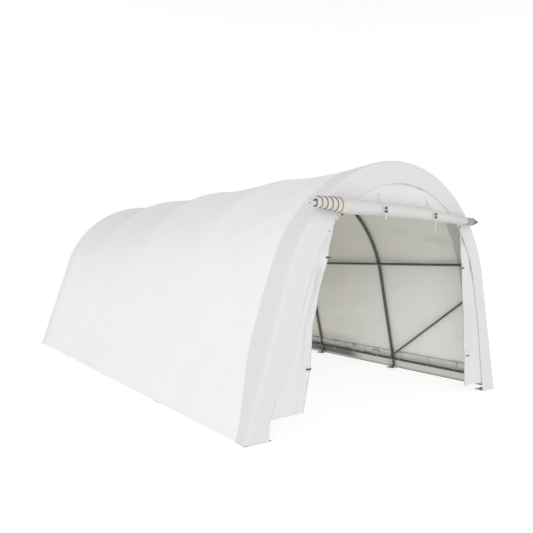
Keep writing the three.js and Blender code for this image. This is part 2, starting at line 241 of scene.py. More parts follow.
def shell(name, grid, materials, uv, *nodes, slot="panel_cloth", thickness=CLOTH, face_slot=None, marks=(),
          **place):
    """Closed thin sheet: its outer face is the grid, its inner face lies a thickness behind."""
    rows, columns = grid.shape[:2]
    normal = np.cross(np.gradient(grid, axis=0), np.gradient(grid, axis=1))
    normal /= np.maximum(np.linalg.norm(normal, axis=2, keepdims=True), 1e-12)
    verts = np.r_[grid.reshape(-1, 3), (grid - normal * thickness).reshape(-1, 3)]
    at = np.arange(rows * columns).reshape(rows, columns)
    a, b, c, d = at[:-1, :-1].ravel(), at[1:, :-1].ravel(), at[1:, 1:].ravel(), at[:-1, 1:].ravel()
    back = rows * columns
    edge = np.r_[at[:, 0][::-1], at[0, 1:], at[1:, -1], at[-1, 1:-1][::-1], at[-1:, 0]]
    rim = [edge[:-1], edge[1:], edge[1:] + back, edge[:-1] + back]
    faces = np.r_[np.stack([a, b, c, d], 1), np.stack([a, d, c, b], 1) + back, np.stack(rim, 1)].tolist()
    outer = np.zeros(len(a), int) if face_slot is None else face_slot.ravel()
    slots = np.r_[outer, outer + len(materials) // 2, np.zeros(len(edge) - 1, int)]
    piece = mesh_object(name, verts, faces, materials, slots, np.tile(uv.reshape(-1, 2), (2, 1)))
    for mark, values in dict(marks).items():
        values = np.tile(np.broadcast_to(values, (rows, columns)).ravel(), 2)
        piece.data.attributes.new(mark, "FLOAT", "POINT").data.foreach_set("value", values.astype(np.float32))
    return belongs(piece, slot, *nodes, **place)


def belongs(piece, slot, *nodes, body="root", stretch=None):
    """The piece stands for CAD nodes, which are hidden. The slot is not used. It rides on a body, or, with a
    stretch, has its transform baked into its mesh instead."""
    if nodes:
        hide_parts(*nodes)
    if stretch:
        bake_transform(piece)
    else:
        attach(piece, body)
    return piece


def frames_along(points, hint):
    """Two side vectors at each point of a path; the first one starts nearest the hint."""
    tangent = np.gradient(points, axis=0)
    tangent /= np.maximum(np.linalg.norm(tangent, axis=1, keepdims=True), 1e-12)
    side = np.empty_like(tangent)
    last = np.asarray(hint, float)
    for i, along in enumerate(tangent):
        last = last - along * (last @ along)
        last = last / np.linalg.norm(last)
        side[i] = last
    return side, np.cross(tangent, side)


def ring_faces(count, sides, closed, start=0, inward=False):
    """Faces between each ring of vertices and the next."""
    k = np.arange(sides)
    low = np.arange(count if closed else count - 1)[:, None] * sides
    high = (low + sides) % (count * sides)
    faces = np.stack([low + k, low + (k + 1) % sides, high + (k + 1) % sides, high + k], 2) + start
    return (faces[..., ::-1] if inward else faces).reshape(-1, 4).tolist()


def end_caps(count, sides):
    """A face over the first ring and one over the last."""
    return [list(range(sides))[::-1], list(range((count - 1) * sides, count * sides))]


class Batch:
    """Separate closed solids that become one mesh."""

    def __init__(self):
        self.verts, self.faces = [], []

    def add(self, verts, faces):
        start = len(self.verts)
        self.verts += [tuple(v) for v in verts]
        self.faces += [[start + i for i in face] for face in faces]
        return self

    def sweep(self, points, radii, sides=12, hint=UP, bore=0, closed=False):
        """A round bar, or a tube with a bore. A radius may be a pair: along the hint and across it."""
        points, radii = np.asarray(points, float), np.asarray(radii, float)
        count = len(points)
        path = np.r_[points[-1:], points, points[:1]] if closed else points
        side, up = (part[1:-1] if closed else part for part in frames_along(path, hint))
        radii = np.broadcast_to(radii if radii.ndim == 2 else radii.reshape(-1, 1), (count, 2))
        angle = np.arange(sides) * tau / sides

        def rings(shrink):
            size = radii - shrink
            across = np.cos(angle)[None, :, None] * side[:, None] * size[:, 0, None, None]
            over = np.sin(angle)[None, :, None] * up[:, None] * size[:, 1, None, None]
            return (points[:, None] + across + over).reshape(-1, 3)

        verts, faces = rings(0), ring_faces(count, sides, closed)
        if bore:
            inner, last = count * sides, (count - 1) * sides
            verts = np.r_[verts, rings(bore)]
            faces += ring_faces(count, sides, closed, inner, True)
            for k in range(sides):
                n = (k + 1) % sides
                faces.append([n, k, inner + k, inner + n])
                faces.append([last + k, last + n, inner + last + n, inner + last + k])
        elif not closed:
            faces += end_caps(count, sides)
        return self.add(verts, faces)

    def turned(self, base, direction, profile, sides=16, closed=False):
        """A turned piece: its profile is a list of (distance along the direction, radius)."""
        base, direction = np.asarray(base, float), np.asarray(direction, float)
        direction = direction / np.linalg.norm(direction)
        side = np.cross(direction, np.eye(3)[np.argmin(np.abs(direction))])
        side /= np.linalg.norm(side)
        angle = np.arange(sides) * tau / sides
        ring = np.cos(angle)[:, None] * side + np.sin(angle)[:, None] * np.cross(direction, side)
        verts = np.concatenate([base + direction * h + ring * r for h, r in profile])
        faces = ring_faces(len(profile), sides, closed)
        return self.add(verts, faces if closed else faces + end_caps(len(profile), sides))

    def bolt(self, at, direction, size=0.008, length=0.012):
        """Hex head on a washer, seated at a point and standing out along a direction."""
        shank = [(-length, size / 2), (0, size / 2), (0, size * 1.1), (0.0016, size * 1.1)]
        head = [(0.0016, size * 0.86), (0.0016 + size * 0.5, size * 0.86),
                (0.0016 + size * 0.62, size * 0.74)]
        self.turned(at, direction, shank).turned(at, direction, head, 6)

    def slab(self, outline, low_y, high_y, flip=False):
        """A flat plate from low_y to high_y, with an outline of four (x, z) corners."""
        faces = [[0, 1, 2, 3], [7, 6, 5, 4]] + [[i, i + 4, (i + 1) % 4 + 4, (i + 1) % 4] for i in range(4)]
        verts = [(x, y, z) for y in (low_y, high_y) for x, z in outline]
        return self.add(verts, [face[::-1] for face in faces] if flip else faces)

    def build(self, name, material, slot, *nodes, sharp=40, **place):
        piece = mesh_object(name, self.verts, self.faces, [material], sharp=sharp)
        return belongs(piece, slot, *nodes, **place)


def mix(a, b, low, high, t):
    """The point that lies between a and b as t lies between low and high."""
    return a * (high - t) / (high - low) + b * (t - low) / (high - low)


def smooth_route(points, per_span=10):
    """Centripetal Catmull-Rom curve through the points."""
    p = [np.asarray(point, float) for point in points]
    p = [2 * p[0] - p[1], *p, 2 * p[-1] - p[-2]]
    route = []
    for a, b, c, d in zip(p, p[1:], p[2:], p[3:]):
        t1 = np.linalg.norm(b - a) ** 0.5
        t2 = t1 + np.linalg.norm(c - b) ** 0.5
        t3 = t2 + np.linalg.norm(d - c) ** 0.5
        for t in np.linspace(t1, t2, per_span, endpoint=False):
            ab, bc, cd = mix(a, b, 0, t1, t), mix(b, c, t1, t2, t), mix(c, d, t2, t3, t)
            route.append(mix(mix(ab, bc, 0, t2, t), mix(bc, cd, t1, t3, t), t1, t2, t))
    return np.array([*route, p[-2]])


def outward(sign):
    """Normal of the side wall."""
    return np.array([sign * COS, 0, SIN])


def leg_point(sign, inset, y, z):
    return np.array([sign * leg_x(inset, z), y, z])


# ---- Materials ----
class Finish:
    """A node material: a Principled shader and short ways to add nodes before it."""

    def __init__(self, name, colour, roughness, metallic=0.0):
        self.material = bpy.data.materials.new(name)
        self.material.use_nodes = True
        self.tree = self.material.node_tree
        self.link = self.tree.links.new
        self.shader = self.tree.nodes["Principled BSDF"].inputs
        self.shader["Base Color"].default_value = (*colour, 1)
        self.shader["Roughness"].default_value = roughness
        self.shader["Metallic"].default_value = metallic
        self.height = None

    def node(self, kind, inputs=(), links=(), **settings):
        made = self.tree.nodes.new(kind)
        for key, value in settings.items():
            setattr(made, key, value)
        for key, value in dict(inputs).items():
            made.inputs[key].default_value = value
        for key, source in dict(links).items():
            self.link(source, made.inputs[key])
        return made

    def math(self, operation, a, b):
        made = self.node("ShaderNodeMath", operation=operation)
        for socket, value in zip(made.inputs, (a, b)):
            if isinstance(value, (int, float)):
                socket.default_value = value
            else:
                self.link(value, socket)
        return made.outputs[0]

    def place(self, kind):
        return self.node("ShaderNodeTexCoord").outputs[kind]

    def noise(self, where, scale, detail):
        made = self.node("ShaderNodeTexNoise", {"Scale": scale, "Detail": detail}, {"Vector": where})
        return made.outputs["Fac"]

    def wave(self, where, scale, direction):
        made = self.node("ShaderNodeTexWave", {"Scale": scale}, {"Vector": where}, bands_direction=direction)
        return made.outputs["Fac"]

    def between(self, value, low, high, to_low=0.0, to_high=1.0):
        settings = {"From Min": low, "From Max": high, "To Min": to_low, "To Max": to_high}
        return self.node("ShaderNodeMapRange", settings, {"Value": value}).outputs["Result"]

    def patches(self, where, scale, detail, low, high):
        return self.between(self.noise(where, scale, detail), low, high)

    def tint(self, factor, colour):
        """Lays a colour over the base colour where the factor is 1."""
        base = self.shader["Base Color"]
        mixed = self.node("ShaderNodeMix", links={"Factor": factor}, data_type="RGBA")
        if base.links:
            self.link(base.links[0].from_socket, mixed.inputs[6])
        else:
            mixed.inputs[6].default_value = base.default_value
        mixed.inputs[7].default_value = (*colour, 1)
        self.link(mixed.outputs[2], base)

    def bump(self, value, depth):
        """Adds a height, in metres, to the surface's bump."""
        scaled = self.math("MULTIPLY", value, depth)
        self.height = scaled if self.height is None else self.math("ADD", self.height, scaled)

    def vary_roughness(self, value, low, high):
        self.link(self.between(value, 0.3, 0.7, low, high), self.shader["Roughness"])

    def done(self, strength=1.0):
        if self.height is not None:
            settings = {"Strength": strength, "Distance": 1.0}
            made = self.node("ShaderNodeBump", settings, {"Height": self.height})
            self.link(made.outputs["Normal"], self.shader["Normal"])
        return self.material


def shade(colour, factor):
    return tuple(channel * factor for channel in colour)


def coated_cloth(name, colour, ribs=False, roughness=0.55, marks=()):
    """Woven polyethylene sheet with a coating. Each mark is an attribute of the mesh and its colour."""
    made = Finish(name, colour, roughness)
    cloth = made.place("UV")
    made.tint(made.patches(cloth, 1.7, 4, 0.35, 0.75), shade(colour, 0.975))
    made.tint(made.math("MULTIPLY", made.patches(cloth, 9, 5, 0.55, 0.8), 0.5), shade(colour, 0.96))
    made.vary_roughness(made.noise(cloth, 22, 2), roughness - 0.06, roughness + 0.06)
    for attribute, mark_colour in marks:
        mark = made.node("ShaderNodeAttribute", attribute_name=attribute)
        made.tint(mark.outputs["Fac"], mark_colour)
    if ribs:
        split = made.node("ShaderNodeSeparateXYZ", links={"Vector": cloth})
        from_rib = made.math("PINGPONG", split.outputs["Y"], RIB_PITCH / 2)
        seam = made.between(from_rib, 0.011, 0.014, 1, 0)
        made.tint(made.math("MULTIPLY", seam, 0.15), shade(colour, 0.95))
        made.bump(seam, 0.0005)
    for direction in ("X", "Y"):
        made.bump(made.wave(cloth, 78, direction), 0.00012)
    made.bump(made.noise(cloth, 14, 3), 0.0022)
    return made.done(0.6)


def tape_cloth(name, colour):
    """Zip tape: ribbed webbing."""
    made = Finish(name, colour, 0.75)
    where = made.place("Object")
    made.tint(made.patches(where, 60, 3, 0.4, 0.7), shade(colour, 0.82))
    made.bump(made.wave(where, 120, "X"), 0.0003)
    return made.done()


def galvanised(name, colour, roughness, metallic=0.85):
    """Zinc-coated steel: dull mottled grain, with darker patches."""
    made = Finish(name, colour, roughness, metallic)
    where = made.place("Object")
    grain = made.node("ShaderNodeTexVoronoi", {"Scale": 95.0}, {"Vector": where}).outputs["Distance"]
    made.tint(made.between(grain, 0.2, 0.7), shade(colour, 0.8))
    made.tint(made.math("MULTIPLY", made.patches(where, 7, 5, 0.5, 0.7), 0.6), shade(colour, 0.65))
    made.vary_roughness(made.noise(where, 30, 3), roughness - 0.1, roughness + 0.1)
    made.bump(made.noise(where, 140, 2), 0.0003)
    return made.done(0.5)


def moulded(name, colour, roughness):
    """Moulded plastic with a fine grain."""
    made = Finish(name, colour, roughness)
    where = made.place("Object")
    made.tint(made.patches(where, 90, 3, 0.45, 0.7), tuple(c * 1.5 + 0.01 for c in colour))
    made.bump(made.noise(where, 600, 2), 0.0002)
    return made.done(0.6)


def twisted_cord(name, colour):
    """Cord of twisted strands."""
    made = Finish(name, colour, 0.8)
    where = made.place("Object")
    made.tint(made.patches(where, 200, 2, 0.4, 0.7), shade(colour, 0.85))
    made.bump(made.wave(where, 230, "DIAGONAL"), 0.0008)
    return made.done()


FASCIA = (0.69, 0.69, 0.69)
# dip is painted shade on the roof, with a lavender cast.
OUTSIDE_MARKS = (("dip", (0.70, 0.692, 0.705)), ("band", (0.708, 0.708, 0.708)), ("front", FASCIA))
# Inside marks are painted shade: gloom higher up and deeper in, band where the doubled end cloth lets less
# light through, foot below the lacing strip, hem along the foot of the wall.
INSIDE_MARKS = (("gloom", (0.56, 0.548, 0.475)), ("band", (0.50, 0.495, 0.46)),
                ("foot", (0.50, 0.505, 0.475)), ("hem", (0.06, 0.065, 0.055)))
# Lacing marks are painted shade: low below the rail, deep towards the rear and in the strip's creases.
LACING_MARKS = (("low", (0.62, 0.625, 0.60)), ("deep", (0.135, 0.145, 0.125)))
cover_out = coated_cloth("cover_cloth_outside", (0.862, 0.862, 0.862), True, marks=OUTSIDE_MARKS)
cover_in = coated_cloth("cover_cloth_inside", (0.83, 0.825, 0.80), True, 0.7, INSIDE_MARKS)
fascia_cloth = coated_cloth("fascia_cloth", FASCIA)
header_cloth = coated_cloth("header_cloth", (0.755, 0.755, 0.745))
# fold is the painted shadow of the band's inner edge on the flap.
flap_cloth = coated_cloth("flap_cloth", (0.715, 0.715, 0.715), marks=(("fold", (0.57, 0.57, 0.56)),))
panel_out = coated_cloth("end_cloth_outside", (0.78, 0.78, 0.775))
panel_in = coated_cloth("end_cloth_inside", (0.66, 0.655, 0.62), roughness=0.7)
# soil is painted shade on the roll: its underside and its right end.
door_out = coated_cloth("door_cloth_outside", (0.635, 0.635, 0.625), marks=(("soil", (0.50, 0.495, 0.47)),))
curtain_cloth = coated_cloth("door_cloth_top", (0.73, 0.73, 0.72))
door_tape = tape_cloth("door_zip_tape", (0.70, 0.67, 0.62))
tip_tape = tape_cloth("door_zip_tape_brown", (0.40, 0.35, 0.33))
coil_brown = moulded("zip_coil", (0.19, 0.14, 0.11), 0.6)
coil_grey = moulded("zip_coil_grey", (0.40, 0.39, 0.37), 0.5)
coil_white = moulded("zip_coil_white", (0.66, 0.66, 0.65), 0.5)
lacing_cloth = coated_cloth("lacing_cloth", (0.66, 0.665, 0.635), roughness=0.7, marks=LACING_MARKS)
# Painted shade: the tubes' base colour is far darker than zinc, standing in for the shade they sit in inside
# the shelter.
tube_steel = galvanised("galvanised_tube", (0.145, 0.15, 0.135), 0.42)
clamp_steel = galvanised("clamp_steel", (0.26, 0.27, 0.25), 0.45)
plate_steel = galvanised("plate_steel", (0.72, 0.73, 0.71), 0.5, 0.25)
bolt_steel = galvanised("bolt_steel", (0.36, 0.37, 0.35), 0.35)
eyelet_ring = moulded("eyelet_ring", (0.11, 0.11, 0.10), 0.5)
cord_white = twisted_cord("tie_cord_white", (0.88, 0.88, 0.86))
lace_grey = twisted_cord("lacing_loop_grey", (0.68, 0.68, 0.65))
dark_plastic = moulded("dark_plastic", (0.055, 0.045, 0.042), 0.45)


# ---- Door ties: the cords come first ----
TIE_TOP_Z = joints["tie_left_lift"]["pos_m"][2]
TIE_TAIL_ZS = {"left": 1.838, "right": 1.772}
TIE_XS = {side: centre(f"tie_toggle_{side}")[0] for side in SIDES}
TOGGLE_HALF, TOGGLE_R = 0.024, 0.011


def roll_z(x):
    return ROLL_Z + x * SPIN_AXIS.z / SPIN_AXIS.x


def tie_route(side):
    """The tie's centreline: down the header, over the roll, through the toggle and on to its tail."""
    x = TIE_XS[side]
    lean = joints[f"tie_{side}_lift"]["pos_m"][0] - x
    front_y = ROLL_Y - ROLL_R - TOGGLE_R - 0.0005
    middle = roll_z(x)
    over_z = middle + ROLL_R + CORD_R + 0.009
    return smooth_route([
        (x + lean, FRONT_Y - 0.0035, TIE_TOP_Z),
        (x + 0.8 * lean, FRONT_Y - 0.012, TIE_TOP_Z - 0.025),
        (x + 0.2 * lean, ROLL_Y + 0.028, over_z + 0.004),
        (x, ROLL_Y - 0.012, over_z - 0.001),
        (x, ROLL_Y - 0.056, middle + 0.056),
        (x, front_y + 0.001, middle + TOGGLE_HALF + 0.008),
        (x, front_y, middle + TOGGLE_HALF),
        (x, front_y, middle - TOGGLE_HALF),
        (x, front_y, TIE_TAIL_ZS[side]),
    ])


def make_tie(side):
    route = tie_route(side)
    body = f"tie_{side}"
    cord = Batch().sweep(route, CORD_R, 12, hint=(1, 0, 0))
    cord = cord.build(f"tie_{side}_cord", cord_white, "tie_cord", f"tie_cord_{side}", body=body)
    x, y, tail_z = route[-1]
    middle = roll_z(x)
    toggle = Batch()
    barrel = [(0, 0.0075), (0.0015, 0.0105), (0.011, 0.0122), (0.019, 0.0105), (0.0215, 0.0075),
              (0.0215, 0.0042), (0, 0.0042)]
    for base in (middle - TOGGLE_HALF - 0.002, middle + TOGGLE_HALF - 0.019):
        toggle.turned((x, y, base), UP, barrel, 20, closed=True)
    button = [(0, 0.004), (0.012, 0.004), (0.0125, 0.0065), (0.016, 0.0065), (0.0175, 0.005)]
    toggle.turned((x, y, middle - TOGGLE_HALF + 0.009), (1, 0, 0.25), button, 14)
    toggle = toggle.build(f"tie_{side}_toggle", dark_plastic, "dark_plastic", f"tie_toggle_{side}", body=body)
    angle = np.linspace(0, tau, 40, endpoint=False)
    reach = 0.0055 * (1 + 0.35 * np.cos(3 * angle))
    loops = np.stack([x + reach * np.cos(2 * angle), y + reach * np.sin(2 * angle),
                      tail_z + 0.004 + 0.005 * np.sin(3 * angle)], 1)
    knot = Batch().sweep(loops, CORD_R * 0.9, 8, closed=True)
    knot = knot.build(f"tie_{side}_knot", cord_white, "tie_cord", body=body)
    px, _, pz = route[0]
    low_z, high_z = pz - 0.012, pz + 0.03
    corners = [(px - 0.02, low_z), (px + 0.02, low_z), (px + 0.02, high_z), (px - 0.02, high_z)]
    patch = Batch().slab(corners, PANEL_Y - 0.0014, PANEL_Y + 0.0002)
    patch.build(f"tie_{side}_patch", header_cloth, "panel_cloth")


for tie_side in SIDES:
    make_tie(tie_side)


# ---- Cover ----
# Creases: rise, then start and end as (distance from the ridge, distance from the rib), then width.
FRONT_CREASES = (
    (0.016, (1.12, 1.25), (1.50, 0.17), 0.045), (-0.014, (1.24, 1.18), (1.62, 0.14), 0.045),
    (0.012, (1.34, 1.05), (1.44, 0.25), 0.030), (-0.007, (1.55, 1.30), (1.72, 0.20), 0.050),
)
BAY_CREASES = (
    (0.006, (1.15, 0.10), (1.75, 1.35), 0.045), (-0.006, (1.00, 0.12), (1.45, 1.30), 0.05),
    (0.005, (1.38, 0.05), (1.85, 0.90), 0.035), (0.004, (2.85, 0.15), (2.35, 1.00), 0.05),
)


def rib_distance(y):
    return np.min([np.abs(y - rib) for rib in RIB_YS], axis=0)


def cover_sag(q, y):
    """How far the cloth hangs in between two ribs, most at the ridge."""
    span = RIB_PITCH / 2
    soft = 0.035
    away = np.clip(np.sqrt(rib_distance(y) ** 2 + soft ** 2) - soft, 0, span)
    inside = (y > FIRST_Y) & (y < LAST_Y)
    depth = 0.004 + 0.026 * fade(np.abs(q), 0.25, 0.85)
    return np.where(inside, depth * (1 - ((span - away) / span) ** 2), 0)


def cover_relief(q, y):
    """Height of the cover's face over the section, along its normal."""
    s = q * HALF_LENGTH
    z = section(q, 0)[1]
    calm = smooth(y, FIRST_Y, FIRST_Y + 0.3) * smooth(-y, -LAST_Y, 0.3 - LAST_Y)
    height = -cover_sag(q, y) - 0.004 * calm
    height += 0.0028 * calm * ripple(s, y * 0.6, 11, 1.1, 0.28)
    height += 0.0016 * calm * ripple(s * 1.6, y * 0.35, 12, 0.5, 0.14)
    near_purlin = bell(z - PURLIN_Z, 0.035)
    height += 0.004 * near_purlin * calm * (0.6 + 0.6 * ripple(s, y, 13, 0.9, 0.3))
    eyelet = np.cos((y - FIRST_Y) / RIB_PITCH * 4 * tau)
    low = fade(z, LACING_HIGH, LACING_HIGH + 0.55) * smooth(z, 0.02, 0.12)
    height += 0.0028 * low * calm * (eyelet + 0.8 * ripple(s * 0.4, y, 14, 0.45, 0.16))
    for rise, start, end, width in FRONT_CREASES:
        height += rise * crease(s, y - FIRST_Y, start, end, width)
    for side in (-1, 1):
        for rise, start, end, width in BAY_CREASES:
            for bay, rib_y in enumerate(RIB_YS[:-1]):
                from_rib = RIB_PITCH - (y - rib_y) if bay % 2 else y - rib_y
                height += rise * crease(s * side, from_rib, start, end, width)
    free = smooth(rib_distance(y), 0.03, 0.3) * smooth(z, LACING_HIGH + 0.02, LACING_HIGH + 0.3)
    return np.maximum(height, -0.0035 - 0.045 * free)


def dip_shade(q, y):
    """Painted shade on the roof: over the whole crown, stronger to the rear and just behind each rib."""
    behind = np.mod(y - FIRST_Y, RIB_PITCH)
    high = fade(np.abs(q), 0.34, 0.80)
    far = smooth(y, FIRST_Y + 1, RIB_YS[3] + 0.5)
    streak = smooth(behind, -0.01, 0.05) * fade(behind, 0.10, 1.25) * fade(np.abs(q), 0.10, 0.66)
    return high * (0.24 + 0.28 * far) + streak * (0.24 + 0.30 * far) * (y > FIRST_Y + 0.5)


def front_narrows(q, z):
    """How much narrower the front band is: at its left foot it is narrower, at its right foot wider."""
    left = 0.036 * fade(z, 0.20, 0.50) * smooth(z, 0, 0.15)
    return np.where(q < 0, left, -0.050 * fade(z, 0.05, 0.9))


def make_cover():
    hem_rows = HALF_LENGTH - np.array([0, 0.004, 0.018, 0.044, 0.048])
    half = np.unique(np.r_[np.linspace(0, HALF_LENGTH - 0.07, 92), hem_rows])
    q = np.r_[-half[:0:-1], half] / HALF_LENGTH
    turn = np.linspace(0, pi / 2, 8)
    inward = FASCIA_WIDTH - np.array([0, 0.006, 0.022, 0.026])
    flat = np.r_[inward, np.linspace(0.165, CORNER_R + 0.02, 6)]
    inset_front = np.r_[flat, CORNER_R * (1 - np.sin(turn))]
    y_front = np.r_[np.zeros(len(flat)), CORNER_R * (1 - np.cos(turn))]
    middle = np.linspace(FRONT_Y + CORNER_R, REAR_Y - CORNER_R, 200)[1:-1]
    middle = np.unique(np.r_[middle, FRONT_Y + np.linspace(0.10, 0.34, 41)])
    inset = np.r_[inset_front, np.zeros(len(middle)), inset_front[::-1]]
    y = np.r_[FRONT_Y + y_front, middle, (REAR_Y - y_front)[::-1]]
    travel = np.r_[0, np.cumsum(np.hypot(np.diff(inset), np.diff(y)))]
    travel -= np.interp(FIRST_Y, y[len(flat):-len(flat)], travel[len(flat):-len(flat)])
    qq, inset, yy = q[:, None], inset[None], y[None]
    narrow = front_narrows(qq, section(qq, FASCIA_WIDTH)[1]) * (yy < 0)
    inset = inset - narrow * smooth(inset, 0.10, FASCIA_WIDTH)
    x, z, normal_x, normal_z = section(qq, inset)
    face = fade(inset, 0, CORNER_R)
    rise = cover_relief(qq, yy) * face
    hem_fold = 0.0011 * smooth(np.abs(qq) * HALF_LENGTH, HALF_LENGTH - 0.048, HALF_LENGTH - 0.044)
    rise = rise + hem_fold * face
    lift = np.where(yy < 0, -1, 1) * (1 - face)
    wavy = 0.0025 * ripple(qq * HALF_LENGTH, inset * 2, 21, 0.9, 0.25) * smooth(inset, 0.03, 0.12)
    edge = 0.0022 * smooth(inset, FASCIA_WIDTH - 0.06, FASCIA_WIDTH)
    seam = 0.0012 * smooth(inset, FASCIA_WIDTH - 0.026, FASCIA_WIDTH - 0.022)
    side_reach = 0.14 + 0.16 * smooth(z, 0, 0.8)
    grid = layers(x + normal_x * rise, yy + lift * (edge + seam - np.maximum(wavy, -0.001) * 0.5),
                  np.maximum(z + normal_z * rise, HEM_Z))
    # band: outside, the end bands' own greyer cloth, a touch lighter on the side walls to offset the lesser
    # light there; inside, painted shade where the doubled cloth lets less light through.
    band = fade(yy - FRONT_Y, side_reach - 0.006, side_reach + 0.006)
    band = band + 0.4 * fade(REAR_Y - yy, 0.14, 0.30)
    uv = layers(qq * HALF_LENGTH, travel[None])
    # gloom: painted shade inside the cover, darker higher up and deeper in.
    gloom = 0.58 * smooth(z, 0.8, 2.1) + 0.42 * smooth(yy - FRONT_Y, 0.53, 2.8)
    # foot: painted shade below the lacing strip.
    foot = fade(z, LACING_HIGH - 0.02, LACING_HIGH - 0.01)
    # More painted shade low down, towards the rear.
    gloom = gloom + 0.5 * fade(z, 0.31, 0.43) * smooth(yy, RIB_YS[1] + 0.35, RIB_YS[1] + 1.1)
    # hem: painted shade along the foot of the wall, where it meets the floor.
    hem = fade(HALF_LENGTH * (1 - np.abs(qq)), 0.004, 0.018)
    marks = {"band": band, "front": smooth(inset, 0, CORNER_R), "gloom": gloom, "foot": foot, "hem": hem,
             "dip": dip_shade(qq, yy) * face}
    cover = shell("cover_skin", grid, [cover_out, cover_in], uv, "main_cover", "front_fascia", "rear_fascia",
                  slot="cover_cloth", marks=marks)


def make_fascia_hems():
    """The piped inner edge of the bands at both ends."""
    q = np.linspace(-1, 1, 260)
    narrow = front_narrows(q, section(q, FASCIA_WIDTH)[1])
    for end, y, inset in (("front", FRONT_Y - 0.0015, FASCIA_WIDTH - narrow),
                          ("rear", REAR_Y + 0.0015, FASCIA_WIDTH)):
        x, z = section(q, inset)[:2]
        path = np.stack([x, np.full_like(x, y), np.maximum(z, HEM_Z)], 1)
        Batch().sweep(path, 0.003, 10, hint=ALONG).build(f"{end}_fascia_hem", fascia_cloth, "cover_cloth")


make_cover()
make_fascia_hems()


# ---- End cloths ----
def ruled(z, half, columns):
    """x and z grids: each row runs from -half to half."""
    t = np.linspace(0, 1, columns)[None]
    return half[:, None] * t - half[:, None] * (1 - t), z[:, None] + 0 * t


def end_cloth(name, grid, uv, outside, node):
    """A flat cloth in an end of the shelter."""
    piece = shell(name, grid, [outside, panel_in], uv, node)


def make_rear_panel():
    radius = ARC_R - LAP_INSET
    angle = np.linspace(LEAN, radians(89), 34)
    z = np.r_[np.linspace(HEM_Z, ARC_Z + radius * SIN, 40)[:-1], ARC_Z + radius * np.sin(angle)]
    half = profile_x(LAP_INSET, z)
    x, zz = ruled(z, half, 90)
    inner = smooth(half[:, None] - np.abs(x), 0.04, 0.25) * smooth(zz, HEM_Z, 0.15)
    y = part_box("rear_panel")[1].y - 0.0005 - inner * (0.012 + 0.006 * ripple(x, zz * 0.4, 31, 0.9, 0.22))
    y -= 0.0008 * smooth(np.abs(np.abs(x) - 0.62), 0.012, 0.016)
    end_cloth("rear_end_cloth", layers(x, y, zz), layers(x, zz), panel_out, "rear_panel")


def make_header():
    radius = ARC_R - LAP_INSET
    z = ARC_Z + radius * np.sin(np.linspace(asin((HEADER_Z - ARC_Z) / radius), radians(88), 36))
    half = np.sqrt(radius ** 2 - (z - ARC_Z) ** 2)
    x, zz = ruled(z, half, 70)
    inner = smooth(half[:, None] - np.abs(x), 0.035, 0.2)
    y = PANEL_Y + inner * (0.006 + 0.007 * ripple(x, zz * 1.5, 41, 0.7, 0.14))
    for side in SIDES:
        tie_x = joints[f"tie_{side}_lift"]["pos_m"][0]
        y -= 0.003 * bell(x - tie_x, 0.05) * fade(zz, 2.02, 2.2) * inner
    grid, uv = layers(x, np.maximum(y, PANEL_Y), zz)[::-1], layers(x, zz)[::-1]
    end_cloth("front_header_cloth", grid, uv, header_cloth, "front_header")


def zip_x(side, z):
    """The flap's zip edge, which bows outwards."""
    foot_x, foot_z, tip_x, tip_z = FLAPS[side]
    t = np.clip((np.asarray(z, float) - foot_z) / (tip_z - foot_z), 0, 1)
    return foot_x + (tip_x - foot_x) * t + (0.026 if side == "right" else 0.018) * np.sin(pi * t)


def flap_y(side, x, z):
    """The flap's cloth: behind the band, loosely folded from its foot up, flat where a hook is fixed."""
    outer, inner = profile_x(LAP_INSET, z), zip_x(side, z)
    across = np.clip((outer - x) / np.maximum(outer - inner, 1e-6), 0, 1)
    loose = smooth(across, 0.08, 0.5) * fade(z, 1.2, 1.8) * (1 - 0.8 * smooth(across, 0.7, 1))
    loose = loose * (0.35 + 0.65 * smooth(z, 0.2, 0.7))
    seed = 51 if side == "left" else 52
    folds = 0.5 + 0.5 * np.sin(across * (7.5 if side == "left" else 9) + 0.5 * z + seed)
    y = 0.030 * loose * folds
    y = y + 0.005 * smooth(across, 0.1, 0.4) * (1 + ripple(x * 2, z * 0.6, seed, 0.5, 0.15))
    upper, lower = (joints[f"{side}_hook_{level}_turn"]["pos_m"][2] for level in LEVELS)
    if side == "left":
        bow = np.sin(pi * np.clip((z - lower - 0.02) / (upper - lower - 0.04), 0, 1)) ** 1.5
        y += 0.034 * bow * smooth(across, 0.45, 1)
        y += 0.026 * crease(x, z, (1.26, 0.75), (1.02, 1.72), 0.035)
        y -= 0.008 * crease(x, z, (1.19, 0.85), (0.99, 1.70), 0.02)
    else:
        y += 0.026 * crease(x, z, (1.34, 0.20), (1.14, 1.62), 0.03)
        y += 0.012 * crease(x, z, (1.25, 0.10), (1.10, 1.40), 0.03)
    for hook_z in (upper, lower):
        at = zip_x(side, hook_z)
        near = np.exp(-(((x - at) / 0.07) ** 2 + ((z - hook_z) / 0.07) ** 2))
        y *= 1 - np.minimum(near * 1.15, 1)
    return PANEL_Y + 0.0004 + np.maximum(y, 0)


def flap_foot(side, x):
    """Height of the flap's lower edge, which isn't cut quite straight."""
    foot_x, foot_z = FLAPS[side][:2]
    if side == "left":
        return foot_z
    return foot_z + 0.008 * smooth(x, foot_x, foot_x + 0.12) + 0.003 * np.sin((x - foot_x) * 42)


